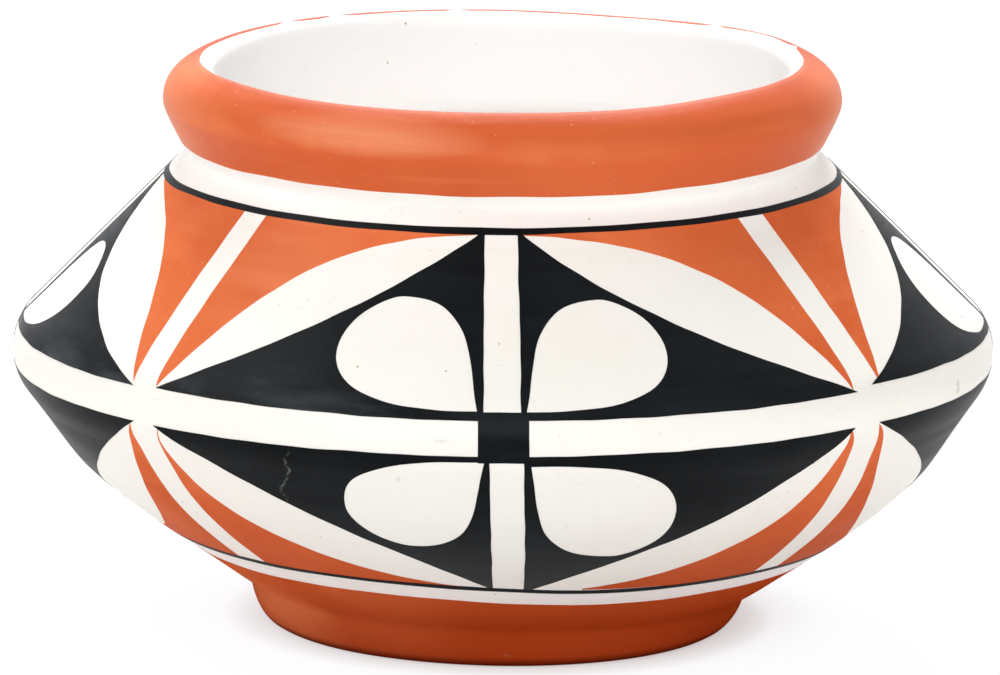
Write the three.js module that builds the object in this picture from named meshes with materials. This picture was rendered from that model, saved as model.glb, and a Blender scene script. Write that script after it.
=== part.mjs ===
// A coil-built pottery bowl with a keeled belly, a rolled rim and a low foot.
// A floor slab stands on a foot ring. The first coil is pressed into a groove scored round the
// floor, further coils are laid one on the next up to the neck, and a fat coil rolled outwards
// makes the rim. Each coil straddles the ridge of the one below it, so that every seam is a
// saddle joint hidden inside the wall.
// Lengths are in millimetres, +Z is up, and the origin is the middle of the foot on the table.
import * as THREE from 'three';

// Foot and floor
const FOOT_RADIUS = 60.7;          // outside of the foot, at the crease under the wall
const FOOT_OVERHANG = 5.3;         // how far the rounded side stands out past the tread
const FOOT_HEIGHT = 9.7;           // table to the crease between foot and wall
const TREAD_WIDTH = 9.8;           // the ring that stands on the table, measured along the radius
const FOOT_RECESS = 6.3;           // depth of the hollow under the floor
const FLOOR_THICKNESS = 8;

// Wall
const WALL = 6.5;
const FLARE_ANGLE = 31.5;          // degrees above the table at which the wall leaves the foot
const KEEL_RADIUS = 120;           // widest place of the bowl
const KEEL_RISE = 58.1;            // crease of the foot to the keel
const KEEL_INSIDE_ROUND = 6.5;     // rounding of the keel on the inside of the wall
const KEEL_LEAN = 34;              // degrees from upright at which the lower wall runs into the keel
const KEEL_COIL = 18;              // the keel coil, measured along the wall
const NECK_COIL = 10;              // the coil under the rim, measured along the wall
const LOWER_COILS = 5;
const UPPER_COILS = 4;

// Neck and rim
const NECK_RADIUS = 76.8;          // crease between the wall and the rolled rim
const NECK_RISE = 48.8;            // keel to the crease
const RIM_BULGE = 6;               // how far the roll stands out past the neck
const RIM_BULGE_RISE = 12.7;       // crease to the widest place of the roll
const RIM_RISE = 22.7;             // crease to the lip
const LIP_ROUND = 4;               // rounding of the lip towards the mouth

// Seams and facets
const SEAM_RIDGE = 1.5;            // how far a coil's ridge reaches into the coil above
const SEGMENTS = 48;               // facets round the bowl
const CURVE_STEPS = 4;             // facets along each curve of the foot, keel and rim
const LOWER_COIL_STEPS = 2;        // facets along a coil of the curved lower wall
const UPPER_COIL_STEPS = 1;        // the upper wall is a straight cone
const HALVINGS = 40;               // tries when a height is looked up along the wall

// Form of the curves: how far each holds the direction that it starts or ends with,
// as a part of the way that it covers
const FLARE_HOLD = 0.72;           // lower wall, out of the foot
const KEEL_HOLD = 0.22;            // lower wall, into the keel
const TREAD_HOLD = 0.56;           // side of the foot, out from the tread
const FOOT_SIDE_HOLD = 0.26;       // side of the foot, down from the crease
const ROLL_HOLD = 0.55;            // rolled rim, above and below its widest place
const LIP_HOLD = 0.56;             // crown of the rim, back from the lip
const CROWN_FALL = 0.08;           // crown of the rim, fall from the lip to that place

const FIRED_CLAY = { metalness: 0, flatShading: true };
const WHITE_SLIP = { color: 0xf1ece4, roughness: 0.55, ...FIRED_CLAY };
const RED_SLIP = { color: 0xc75a30, roughness: 0.75, ...FIRED_CLAY };

const TREAD_RADIUS = FOOT_RADIUS - FOOT_OVERHANG;
const FLOOR_HEIGHT = FOOT_RECESS + FLOOR_THICKNESS;
const KEEL_ROUND = KEEL_INSIDE_ROUND + WALL;
const KEEL_HEIGHT = FOOT_HEIGHT + KEEL_RISE;
const NECK_HEIGHT = KEEL_HEIGHT + NECK_RISE;
const LIP_HEIGHT = NECK_HEIGHT + RIM_RISE;
const MOUTH_RADIUS = NECK_RADIUS - WALL;

// A point of a section: distance from the bowl's axis, then height
const at = (radius, height) => new THREE.Vector2(radius, height);

const heading = (angle) => at(Math.cos(angle), Math.sin(angle));

const middle = (a, b) => a.clone().add(b).multiplyScalar(0.5);

// Points along a curve, with its two ends
const along = (curve, steps) => curve.getPoints(steps);

// One clay member: a closed section turned round the bowl's axis
function clayMember(name, section, finish) {
  const turned = new THREE.LatheGeometry(section, SEGMENTS);
  turned.rotateX(Math.PI / 2);
  const member = new THREE.Mesh(turned, new THREE.MeshStandardMaterial(finish));
  member.name = name;
  return member;
}

// The outside of the wall, from the crease over the foot to the crease under the rim
const footCrease = at(FOOT_RADIUS, FOOT_HEIGHT);
const neckCrease = at(NECK_RADIUS, NECK_HEIGHT);

function outsideOfWall() {
  const keelMiddle = at(KEEL_RADIUS - KEEL_ROUND, KEEL_HEIGHT);
  const toNeck = neckCrease.clone().sub(keelMiddle);
  const lowerAngle = -THREE.MathUtils.degToRad(KEEL_LEAN);
  const upperAngle = toNeck.angle() - Math.acos(KEEL_ROUND / toNeck.length());
  const keel = new THREE.EllipseCurve(
    keelMiddle.x, keelMiddle.y, KEEL_ROUND, KEEL_ROUND, lowerAngle, upperAngle);

  const keelStart = keel.getPoint(0);
  const reach = keelStart.distanceTo(footCrease);
  const flare = heading(THREE.MathUtils.degToRad(FLARE_ANGLE)).multiplyScalar(reach * FLARE_HOLD);
  const run = heading(lowerAngle + Math.PI / 2).multiplyScalar(reach * KEEL_HOLD);
  const lower = new THREE.CubicBezierCurve(
    footCrease, footCrease.clone().add(flare), keelStart.clone().sub(run), keelStart);

  const wall = new THREE.CurvePath();
  wall.add(lower);
  wall.add(keel);
  wall.add(new THREE.LineCurve(keel.getPoint(1), neckCrease));
  const toWidest = lower.getLength() + KEEL_ROUND * -lowerAngle;
  return { wall, toWidest, length: wall.getLength() };
}

const { wall, toWidest, length } = outsideOfWall();
const outside = (distance) => wall.getPoint(distance / length);
const direction = (distance) => wall.getTangent(distance / length);

function inside(distance) {
  const way = direction(distance);
  return outside(distance).add(at(-way.y, way.x).multiplyScalar(WALL));
}

// The seam that crosses the wall at a distance along it: outer edge, ridge and inner edge
function wallSeam(distance) {
  const ridge = middle(outside(distance), inside(distance));
  ridge.addScaledVector(direction(distance), SEAM_RIDGE);
  return [outside(distance), ridge, inside(distance)];
}

function neckSeam() {
  const edge = at(MOUTH_RADIUS, NECK_HEIGHT);
  const ridge = middle(neckCrease, edge).add(at(0, SEAM_RIDGE));
  return [neckCrease, ridge, edge];
}

// How far along the wall its outside reaches a height below the keel
function distanceAtHeight(height) {
  let below = 0;
  let above = toWidest;
  for (let halving = 0; halving < HALVINGS; halving += 1) {
    const tried = (below + above) / 2;
    if (outside(tried).y < height) below = tried;
    else above = tried;
  }
  return above;
}

// The first coil's seat: level with the floor, with the groove that the coil is pressed into
const wallFrom = distanceAtHeight(FLOOR_HEIGHT);

function floorSeam() {
  const outerEdge = outside(wallFrom);
  const width = WALL / Math.sin(THREE.MathUtils.degToRad(FLARE_ANGLE));
  const innerEdge = at(outerEdge.x - width, outerEdge.y);
  const groove = middle(outerEdge, innerEdge).sub(at(0, SEAM_RIDGE));
  return [outerEdge, groove, innerEdge];
}

// The foot ring carries the floor on a seat that falls from the crease towards the middle
function footSeam() {
  const edge = at(TREAD_RADIUS - TREAD_WIDTH, FOOT_RECESS);
  const slope = footCrease.clone().sub(edge).normalize();
  const ridge = middle(footCrease, edge).add(at(-slope.y, slope.x).multiplyScalar(SEAM_RIDGE));
  return [footCrease, ridge, edge];
}

// Inner places of a member, without the ends that its seams already hold
function between(from, to, steps, place) {
  const places = [];
  for (let step = 1; step < steps; step += 1) {
    places.push(place(from + ((to - from) * step) / steps));
  }
  return places;
}

// A member's section goes up its outside, in along the upper seam, down its inside and out
// along the lower seam to where it began
function closedSection(lowerSeam, outer, upperSeam, inner) {
  const backOut = [...lowerSeam].reverse();
  return [lowerSeam[0], ...outer, ...upperSeam, ...inner, ...backOut];
}

function wallCoil(name, from, to, steps) {
  const outer = between(from, to, steps, outside);
  const inner = between(from, to, steps, inside).reverse();
  return clayMember(name, closedSection(wallSeam(from), outer, wallSeam(to), inner), WHITE_SLIP);
}

// The first coil ends on the level floor instead of on a ridge
function firstCoil(name, from, to, steps) {
  const outer = between(from, to, steps, outside);
  const inner = [...between(from, to, steps, inside).reverse(), inside(from)];
  return clayMember(name, closedSection(floorSeam(), outer, wallSeam(to), inner), WHITE_SLIP);
}

function footRing() {
  const side = new THREE.CubicBezierCurve(
    at(TREAD_RADIUS, 0), at(TREAD_RADIUS + FOOT_OVERHANG * TREAD_HOLD, 0),
    at(FOOT_RADIUS, FOOT_HEIGHT * (1 - FOOT_SIDE_HOLD)), footCrease);
  const inner = at(TREAD_RADIUS - TREAD_WIDTH, 0);
  const outer = along(side, CURVE_STEPS).slice(0, -1);
  return clayMember('foot_ring', [inner, ...outer, ...footSeam(), inner], RED_SLIP);
}

function floorSlab() {
  const underside = [at(0, FOOT_RECESS), ...footSeam().reverse()];
  const top = [...floorSeam(), at(0, FLOOR_HEIGHT)];
  return clayMember('floor_slab', [...underside, ...top], WHITE_SLIP);
}

function neckCoil(from) {
  const innerCone = inside(from);
  const way = direction(from);
  const corner = innerCone.clone().addScaledVector(way, (MOUTH_RADIUS - innerCone.x) / way.x);
  return clayMember('neck_coil', closedSection(wallSeam(from), [], neckSeam(), [corner]), WHITE_SLIP);
}

function rimRoll() {
  const widest = at(NECK_RADIUS + RIM_BULGE, NECK_HEIGHT + RIM_BULGE_RISE);
  const lip = at(MOUTH_RADIUS + LIP_ROUND, LIP_HEIGHT);
  const overWidest = lip.y - widest.y;
  const overhang = widest.x - lip.x;
  const belly = new THREE.QuadraticBezierCurve(
    neckCrease, at(widest.x, widest.y - RIM_BULGE_RISE * ROLL_HOLD), widest);
  const crown = new THREE.CubicBezierCurve(
    widest, at(widest.x, widest.y + overWidest * ROLL_HOLD),
    at(lip.x + overhang * LIP_HOLD, lip.y - overWidest * CROWN_FALL), lip);
  const turnIn = new THREE.EllipseCurve(
    lip.x, lip.y - LIP_ROUND, LIP_ROUND, LIP_ROUND, Math.PI / 2, Math.PI);
  const outer = [
    ...along(belly, CURVE_STEPS), ...along(crown, CURVE_STEPS).slice(1),
    ...along(turnIn, CURVE_STEPS).slice(1),
  ];
  const backOut = neckSeam().reverse();
  return clayMember('rim_roll', [...outer, ...backOut], RED_SLIP);
}

const bowl = new THREE.Group();
bowl.add(footRing(), floorSlab());

const keelFrom = toWidest - KEEL_COIL / 2;
const keelTo = toWidest + KEEL_COIL / 2;
const neckFrom = length - NECK_COIL;

const lowerCoil = (keelFrom - wallFrom) / LOWER_COILS;
for (let coil = 0; coil < LOWER_COILS; coil += 1) {
  const from = wallFrom + coil * lowerCoil;
  const make = coil === 0 ? firstCoil : wallCoil;
  bowl.add(make(`lower_wall_coil_${coil + 1}`, from, from + lowerCoil, LOWER_COIL_STEPS));
}

bowl.add(wallCoil('keel_coil', keelFrom, keelTo, CURVE_STEPS));

const upperCoil = (neckFrom - keelTo) / UPPER_COILS;
for (let coil = 0; coil < UPPER_COILS; coil += 1) {
  const from = keelTo + coil * upperCoil;
  bowl.add(wallCoil(`upper_wall_coil_${coil + 1}`, from, from + upperCoil, UPPER_COIL_STEPS));
}

bowl.add(neckCoil(neckFrom), rimRoll());

export default bowl;
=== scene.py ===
# %% [markdown]
# # A painted pottery bowl
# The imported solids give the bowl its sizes: a foot ring, a floor slab, coils of clay laid up to the
# neck and a rolled rim. This lesson gives the same members their hand-made form, lays the slips and
# the painted pattern over them, and sets the bowl in a pale studio. Blender works in metres, in the
# frame of the solids: +Z is up, and the middle of the foot stands at the origin.

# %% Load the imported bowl
import math
from collections import namedtuple

import bpy
import numpy as np
from mathutils import Matrix, Vector
from mathutils.geometry import delaunay_2d_cdt


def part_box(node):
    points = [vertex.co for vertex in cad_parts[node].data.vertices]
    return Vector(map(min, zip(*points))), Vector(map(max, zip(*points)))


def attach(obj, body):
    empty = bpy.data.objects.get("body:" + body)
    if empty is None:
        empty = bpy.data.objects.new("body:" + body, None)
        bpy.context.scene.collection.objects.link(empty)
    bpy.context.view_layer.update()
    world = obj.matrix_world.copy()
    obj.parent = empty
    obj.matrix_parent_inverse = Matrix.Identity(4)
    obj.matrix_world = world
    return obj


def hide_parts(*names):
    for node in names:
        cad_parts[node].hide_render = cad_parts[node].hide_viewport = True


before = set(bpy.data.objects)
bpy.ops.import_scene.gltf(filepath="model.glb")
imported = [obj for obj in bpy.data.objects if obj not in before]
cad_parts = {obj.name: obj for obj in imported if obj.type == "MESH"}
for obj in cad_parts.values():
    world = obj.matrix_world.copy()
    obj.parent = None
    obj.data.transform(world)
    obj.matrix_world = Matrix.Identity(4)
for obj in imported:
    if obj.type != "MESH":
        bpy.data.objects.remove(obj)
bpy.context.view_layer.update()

MM = 0.001    # clay is measured in millimetres here and made in metres

print("Clay members:", ", ".join(sorted(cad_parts)))

# %% [markdown]
# ## Where the photographer stood
# The bowl was photographed from some way off with a long lens, a little above the rim, so that the
# mouth shows as a narrow oval and the belly hides the foot's far side. A camera could be aimed at
# the bowl by a constraint. Here it is placed by distance, height and tilt, because those three
# decide how open the mouth looks, and a small turn in its own plane follows the tilt of the picture.

# %% Camera
EYE_DISTANCE = 2.5        # metres in front of the bowl's axis
EYE_HEIGHT = 0.5840       # metres above the table
LOOK_DOWN = 11.626        # degrees
PICTURE_TURN = 1.011      # degrees, the picture hangs a little lower on the right
SENSOR = 36               # millimetres
LENS = 374.1              # millimetres

camera = bpy.data.objects.new("camera", bpy.data.cameras.new("camera"))
bpy.context.scene.collection.objects.link(camera)
camera.data.sensor_width = SENSOR
camera.data.lens = LENS
camera.location = (0, -EYE_DISTANCE, EYE_HEIGHT)
tilt = Matrix.Rotation(math.radians(90 - LOOK_DOWN), 3, "X")
turn = Matrix.Rotation(math.radians(PICTURE_TURN), 3, "Z")
camera.rotation_euler = (tilt @ turn).to_euler()
bpy.context.scene.camera = camera
bpy.context.scene.view_settings.view_transform = "Standard"
print("Camera", EYE_DISTANCE, "m away, looking down", LOOK_DOWN, "degrees")

# %% [markdown]
# ## The nodes of a finish
# Every finish is a small graph of nodes. A helper that adds one node and fills its inputs keeps the
# recipes short: an input takes a number, a colour, or the output of an earlier node.

# %% Adding nodes
def add_node(tree, kind, inputs, **settings):
    """One node of a graph, with its settings and its inputs filled in."""
    node = tree.nodes.new("ShaderNode" + kind)
    for setting, value in settings.items():
        setattr(node, setting, value)
    for name, value in inputs.items():
        if isinstance(value, bpy.types.NodeSocket):
            tree.links.new(value, node.inputs[name])
        else:
            node.inputs[name].default_value = value
    return node


def new_finish(name):
    """A material with its shader, and the place on the bowl as coordinates in metres."""
    finish = bpy.data.materials.new(name)
    finish.use_nodes = True
    tree = finish.node_tree
    place = add_node(tree, "TexCoord", {}).outputs["Object"]
    return finish, tree, tree.nodes["Principled BSDF"], place


def reckon(tree, operation, *values):
    """One step of arithmetic with numbers or outputs."""
    return add_node(tree, "Math", dict(enumerate(values)), operation=operation).outputs["Value"]


def sum_of(tree, first, second):
    return reckon(tree, "ADD", first, second)


def product_of(tree, first, second):
    return reckon(tree, "MULTIPLY", first, second)


def vectors(tree, operation, *values):
    """The outputs of one step with places or headings."""
    return add_node(tree, "VectorMath", dict(enumerate(values)), operation=operation).outputs


def parts_of(tree, vector):
    """X, Y and Z of a place or a heading."""
    return add_node(tree, "SeparateXYZ", {"Vector": vector}).outputs


print("Helpers for nodes:", ", ".join(["add_node", "reckon", "vectors", "parts_of"]))

# %% [markdown]
# ## Patterns and layers
# Hand-laid slip is never even, so each finish is a ground colour with layers over it, and a pattern
# says how much of each layer shows at a place. A picture of a real surface could do the same, but
# patterns worked out from the place in metres have no seam and stay sharp from close by. Noise gives
# clouds and streaks, scattered cells give specks, and the distance from a point gives a round mark,
# which serves for wear and for painted light and shade.

# %% Helpers for patterns and layers
MIX_FACTOR, MIX_FIRST, MIX_SECOND, MIX_RESULT = 0, 6, 7, 2    # colour sockets of the Mix node
SPECK_MIDDLE = 0.5        # share of a speck's size that shows in full
SPECK_CHOICE = 0.02       # how sharply a cell gets a speck or none
MARK_MIDDLE = 0.3         # share of a mark's reach that shows in full
NOISE_RANGE = (0.3, 0.7)  # nearly all values of a noise lie between these


def grain(tree, place, scale, detail=3.0, stretch=(1, 1, 1)):
    """A cloudy pattern from 0 to 1. Stretched in height, it becomes level streaks."""
    stretched = add_node(tree, "Mapping", {"Vector": place, "Scale": stretch}).outputs["Vector"]
    noise = add_node(tree, "TexNoise", {"Vector": stretched, "Scale": scale, "Detail": detail})
    return noise.outputs["Fac"]


def spread(tree, value, low, high, to_low, to_high):
    """A pattern's values from low to high, as values from to_low to to_high."""
    limits = {"From Min": low, "From Max": high, "To Min": to_low, "To Max": to_high}
    return add_node(tree, "MapRange", {"Value": value, **limits}).outputs["Result"]


def fade_in(tree, value, start, full, strength=1.0):
    """0 where a pattern has its start value, growing to the strength where it has its full value."""
    return spread(tree, value, start, full, 0, strength)


def specks(tree, place, scale, size, rarity):
    """Small round marks: a few cells of a random scatter, each with a dot at its middle."""
    cells = add_node(tree, "TexVoronoi", {"Vector": place, "Scale": scale})
    dot = fade_in(tree, cells.outputs["Distance"], size, size * SPECK_MIDDLE)
    chance = add_node(tree, "SeparateColor", {"Color": cells.outputs["Color"]}).outputs["Red"]
    return product_of(tree, dot, fade_in(tree, chance, rarity, rarity + SPECK_CHOICE))


def mark(tree, place, middle, reach, squeeze=(1, 1, 1)):
    """A small round mark, for wear and for painted light and shade: 1 at its middle, given in metres, and
    0 at its reach and beyond.
    """
    from_middle = vectors(tree, "SUBTRACT", place, middle)["Vector"]
    shaped = vectors(tree, "MULTIPLY", from_middle, squeeze)["Vector"]
    apart = vectors(tree, "LENGTH", shaped)["Value"]
    return fade_in(tree, apart, reach, reach * MARK_MIDDLE)


def blend_colours(tree, factor, first, second):
    """Goes from the first colour to the second as the factor goes from 0 to 1."""
    inputs = {MIX_FACTOR: factor, MIX_FIRST: first, MIX_SECOND: second}
    return add_node(tree, "Mix", inputs, data_type="RGBA").outputs[MIX_RESULT]


def lay_over(tree, ground, layers):
    """A ground with layers over it, in order. A layer is how much of it shows, and its colour."""
    for share, colour in layers:
        ground = blend_colours(tree, share, ground, colour)
    return ground


def raise_surface(tree, shader, height, depth):
    """Fine relief: the height pattern, from 0 to 1, stands that many metres proud."""
    relief = add_node(tree, "Bump", {"Height": height, "Distance": depth})
    tree.links.new(relief.outputs["Normal"], shader.inputs["Normal"])


print("A noise runs from about", NOISE_RANGE[0], "to", NOISE_RANGE[1])

# %% [markdown]
# ## White slip
# The bowl's ground is a cream slip, a thin clay wash rubbed smooth with a stone. It is nearly even:
# a warmer cloud here and there, level rubbing marks, pinholes, a rare dark speck from the clay
# beneath and a few flecks that have come off the belly. The inside, the neck and the strip over the
# foot are painted paler, as painted light where shade falls on them. An even white would look like
# plastic, so each of these is one faint layer.

# %% White slip
CREAM = (0.921, 0.898, 0.846, 1)
WARM_CREAM = (0.894, 0.861, 0.792, 1)
PAINTED_LIGHT_CREAM = (0.985, 0.962, 0.948, 1)    # painted light: a paler cream inside, on the neck and over the foot
CLAY_SPECK = (0.50, 0.42, 0.32, 1)
SMUDGE = (0.74, 0.71, 0.62, 1)
FACING_IN = (-0.004, -0.012)               # metres, place times heading: below 0 on the inside
NECK_LIGHT = (0.108, 0.111)                 # metres, the heights over which the painted light starts
FOOT_STRIP_LIGHT = (0.028, 0.023)
WHITE_MARKS = (                            # middle and reach in metres, squeeze and strength
    ((-0.0235, -0.1145, 0.0578), 0.0013, (1.2, 1, 0.6), 0.9),
    ((-0.0137, -0.1190, 0.0690), 0.0012, (0.3, 1, 2), 0.3),
    ((-0.0258, -0.1168, 0.0708), 0.0008, (0.4, 1, 2), 0.3),
    ((0.0243, -0.1063, 0.0459), 0.0008, (1, 1, 1), 0.6),
    ((0.1106, -0.0482, 0.0693), 0.0015, (1, 1, 0.7), 0.9))
BURNISHED = (0.40, 0.56)                   # roughness, on a stroke of the stone and beside it
BURNISHED_RELIEF = 0.00012                 # metres


def make_white_slip():
    finish, tree, shader, place = new_finish("white_slip")
    clouds = grain(tree, place, scale=16, detail=4)
    rubbed = grain(tree, place, scale=9, detail=4, stretch=(1, 1, 26))
    stains = grain(tree, place, scale=34, detail=6)
    ragged = grain(tree, place, scale=700)
    across = add_node(tree, "Mapping", {"Vector": place, "Scale": (1, 1, 0)}).outputs["Vector"]
    facing = add_node(tree, "NewGeometry", {}).outputs["Normal"]
    outward = vectors(tree, "DOT_PRODUCT", across, facing)["Value"]
    above = parts_of(tree, place)["Z"]
    layers = [
        (fade_in(tree, clouds, 0.40, 0.68), WARM_CREAM),
        (fade_in(tree, rubbed, 0.52, 0.78, 0.35), WARM_CREAM),
        (fade_in(tree, stains, 0.70, 0.80, 0.40), SMUDGE),
        # painted light: paler inside the bowl, on the neck and on the strip over the foot
        (fade_in(tree, outward, *FACING_IN, 0.9), PAINTED_LIGHT_CREAM),
        (fade_in(tree, above, *NECK_LIGHT, 0.5), PAINTED_LIGHT_CREAM),
        (fade_in(tree, above, *FOOT_STRIP_LIGHT, 0.9), PAINTED_LIGHT_CREAM),
        (specks(tree, place, scale=240, size=0.10, rarity=0.95), CLAY_SPECK)]
    for middle, reach, squeeze, strength in WHITE_MARKS:
        fleck = mark(tree, place, middle, reach, squeeze)
        layers.append((product_of(tree, fleck, fade_in(tree, ragged, 0.3, 0.6, strength)), CLAY_SPECK))
    tree.links.new(lay_over(tree, CREAM, layers), shader.inputs["Base Color"])
    tree.links.new(spread(tree, rubbed, *NOISE_RANGE, *BURNISHED), shader.inputs["Roughness"])
    fine = product_of(tree, grain(tree, place, scale=260, detail=5), 0.5)
    pinholes = specks(tree, place, scale=420, size=0.16, rarity=0.80)
    relief = reckon(tree, "SUBTRACT", sum_of(tree, fine, rubbed), pinholes)
    raise_surface(tree, shader, relief, BURNISHED_RELIEF)
    return finish


white_slip = make_white_slip()
print("White slip:", len(white_slip.node_tree.nodes), "nodes")

# %% [markdown]
# ## Red slip
# The rim, the foot and the star wedges carry an iron-red slip, laid on with a cloth. It is thinner in
# some places than in others, which shows as paler and deeper clouds and as level wiping streaks. On
# the rim, painted shade deepens the red over the crown, under the roll and at the front right, a
# painted highlight pales it at the front left, and painted sheen pales its two sides. Lower down, the
# red grows darker towards the bottom, and painted light from the left pales the left side. The foot
# is the deepest red, with two small scuffs and a painted shadow along the edge where it stands. One
# recipe makes all three, because only their gloss, their painted shade on the crown and their painted
# light at the left differ.

# %% Reds, their wear, and their painted light and shade
BRIGHT_RED = (0.765, 0.178, 0.062, 1)
DEEP_RED = (0.645, 0.120, 0.036, 1)
# wiping streaks, and painted sheen on the rim's sides
SHEEN_AND_RUBBED_RED = (0.800, 0.215, 0.088, 1)
# painted highlight on the rim, and the pale specks of the slip
HIGHLIGHT_AND_SPECK_RED = (0.870, 0.310, 0.160, 1)
# painted light on the left of the foot
LEFT_LIGHT_FOOT_RED = (0.900, 0.245, 0.095, 1)
SCUFFED_RED = (0.900, 0.420, 0.250, 1)
# painted shade over the crown of the rim
CROWN_SHADE_RED = (0.500, 0.068, 0.015, 1)
FOOT_RED = (0.490, 0.061, 0.010, 1)
# painted shadow where the foot stands on the table
CONTACT_SHADE_RED = (0.120, 0.012, 0.003, 1)
RED_PATCHES = (                 # middle and reach in metres, squeeze and colour
    ((-0.034, -0.076, 0.1332), 0.026, (0.8, 0.8, 5.0), HIGHLIGHT_AND_SPECK_RED),    # painted highlight, on the rim at the front left
    ((0.082, -0.012, 0.1280), 0.028, (1.0, 1.0, 1.0), SHEEN_AND_RUBBED_RED),      # painted sheen on the rim's two sides
    ((-0.080, -0.012, 0.1300), 0.030, (1.0, 1.0, 1.0), SHEEN_AND_RUBBED_RED),
    ((0.062, -0.062, 0.1280), 0.050, (1.0, 1.0, 1.5), DEEP_RED),        # painted shade on the rim at the front right
    ((-0.050, -0.075, 0.1030), 0.024, (1.0, 1.0, 1.0), SHEEN_AND_RUBBED_RED),     # a paler patch on a star
    ((-0.054, -0.030, 0.0050), 0.024, (0.9, 0.9, 1.7), LEFT_LIGHT_FOOT_RED))       # painted light on the foot's left side
FOOT_TONE = (0.066, 0.010)      # metres, the heights over which the red grows darker towards the bottom
FOOT_CONTACT_SHADOW = (0.0026, 0.0004)    # metres, painted shadow along the edge that stands on the table
LEFT_LIGHT_SIDE = (-0.070, -0.005)    # across the bowl, from the side paler in painted light to the middle, in metres
FOOT_SCUFFS = ((-0.0030, -0.0600, 0.0030), (0.0030, -0.0600, 0.0032))    # metres
SCUFF_REACH, SCUFF_SQUEEZE = 0.0016, (0.6, 1, 2)
print("Reds:", len(RED_PATCHES), "worn patches and", len(FOOT_SCUFFS), "scuffs")

# %% Red slip
HANDLED, PAINTED, MATT = 0.06, 0.01, 0.0      # gloss of the rim, of the stars and of the foot
BLOOM = 0.03                    # a pale bloom on the rim, where the slip is seen along its face
BLOOM_ROUGHNESS = 0.35
RIM_ROUGHNESS = (0.36, 0.48)    # on a stroke of the cloth and beside it
COAT_ROUGHNESS = (0.40, 0.56)
COAT_RELIEF = 0.00014           # metres
SHADED_CROWN = 0.9                 # how much painted shade deepens the red over the crown of the rim
SHADE_UNDER_ROLL = 0.65               # share of that painted shade under the roll
STAR_LEFT_LIGHT, FOOT_LEFT_LIGHT = 0.75, 0.1      # share of the deep red that is left on the left side, paler in painted light


def make_red_slip(name, gloss, bloom=0.0, crown=0.0, painted_light=STAR_LEFT_LIGHT, roughness=COAT_ROUGHNESS):
    """Red slip: crown sets the painted shade on faces that look up and under the roll, and the share of
    the lower deep red that stays on the left side sets the painted light there.
    """
    finish, tree, shader, place = new_finish(name)
    clouds = grain(tree, place, scale=30, detail=6)
    wiped = grain(tree, place, scale=14, detail=6, stretch=(1, 1, 14))
    facing = add_node(tree, "NewGeometry", {}).outputs["Normal"]
    upward = parts_of(tree, facing)["Z"]
    where = parts_of(tree, place)
    # darker towards the bottom, and paler on the left as painted light from the left
    low_depth_and_left_light = product_of(tree, fade_in(tree, where["Z"], *FOOT_TONE, 0.9),
                            spread(tree, where["X"], *LEFT_LIGHT_SIDE, painted_light, 1))
    layers = [
        (fade_in(tree, clouds, 0.38, 0.64), DEEP_RED),
        # painted shade: deeper red on faces that look up, and under the roll
        (fade_in(tree, upward, 0.30, 0.85, crown), DEEP_RED),
        (fade_in(tree, upward, 0.72, 0.97, crown), CROWN_SHADE_RED),
        (fade_in(tree, upward, 0.0, -0.35, crown * SHADE_UNDER_ROLL), DEEP_RED),
        (fade_in(tree, wiped, 0.50, 0.80, 0.55), SHEEN_AND_RUBBED_RED),
        (specks(tree, place, scale=300, size=0.10, rarity=0.90), DEEP_RED),
        (specks(tree, place, scale=560, size=0.16, rarity=0.90), HIGHLIGHT_AND_SPECK_RED),
        (low_depth_and_left_light, FOOT_RED)]
    uneven = spread(tree, wiped, 0.25, 0.60, 0.3, 1)
    # patches of painted highlight, sheen, shade and light, and a paler one on a star
    for middle, reach, squeeze, colour in RED_PATCHES:
        layers.append((product_of(tree, mark(tree, place, middle, reach, squeeze), uneven), colour))
    # painted shadow along the edge that stands on the table
    layers.append((fade_in(tree, where["Z"], *FOOT_CONTACT_SHADOW, 0.85), CONTACT_SHADE_RED))
    for middle in FOOT_SCUFFS:
        scuff = mark(tree, place, middle, SCUFF_REACH, SCUFF_SQUEEZE)
        layers.append((product_of(tree, scuff, grain(tree, place, scale=900)), SCUFFED_RED))
    tree.links.new(lay_over(tree, BRIGHT_RED, layers), shader.inputs["Base Color"])
    tree.links.new(spread(tree, wiped, *NOISE_RANGE, *roughness), shader.inputs["Roughness"])
    shader.inputs["Specular IOR Level"].default_value = gloss
    shader.inputs["Sheen Weight"].default_value = bloom
    shader.inputs["Sheen Roughness"].default_value = BLOOM_ROUGHNESS
    fine = product_of(tree, grain(tree, place, scale=420, detail=4), 0.6)
    raise_surface(tree, shader, sum_of(tree, fine, wiped), COAT_RELIEF)
    return finish


red_slip = make_red_slip("red_slip", HANDLED, BLOOM, crown=SHADED_CROWN, roughness=RIM_ROUGHNESS)
star_slip = make_red_slip("red_slip_star", PAINTED)
foot_slip = make_red_slip("red_slip_foot", MATT, painted_light=FOOT_LEFT_LIGHT)
print("Red slip:", len(red_slip.node_tree.nodes), "nodes")

# %% [markdown]
# ## Black paint
# The black is a plant and mineral paint put on with a soft brush. It dries a little blue, with a low
# sheen, and the brush leaves fine level streaks where the film is thinner. Just over the keel, on the
# left, a painted highlight turns it grey, and a chalky scratch crosses the lower left field. The
# scratch could be a mesh of its own, but it has no thickness, so it is a thin swaying line in the
# paint. The lower frame line has hardly any sheen.

# %% Black paint
SOOT = (0.0014, 0.0023, 0.0031, 1)
THIN_SOOT = (0.0056, 0.0078, 0.0094, 1)
# painted highlight over the keel, at the left
HIGHLIGHT_SOOT = (0.054, 0.063, 0.071, 1)
CHALK = (0.115, 0.123, 0.123, 1)
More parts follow.
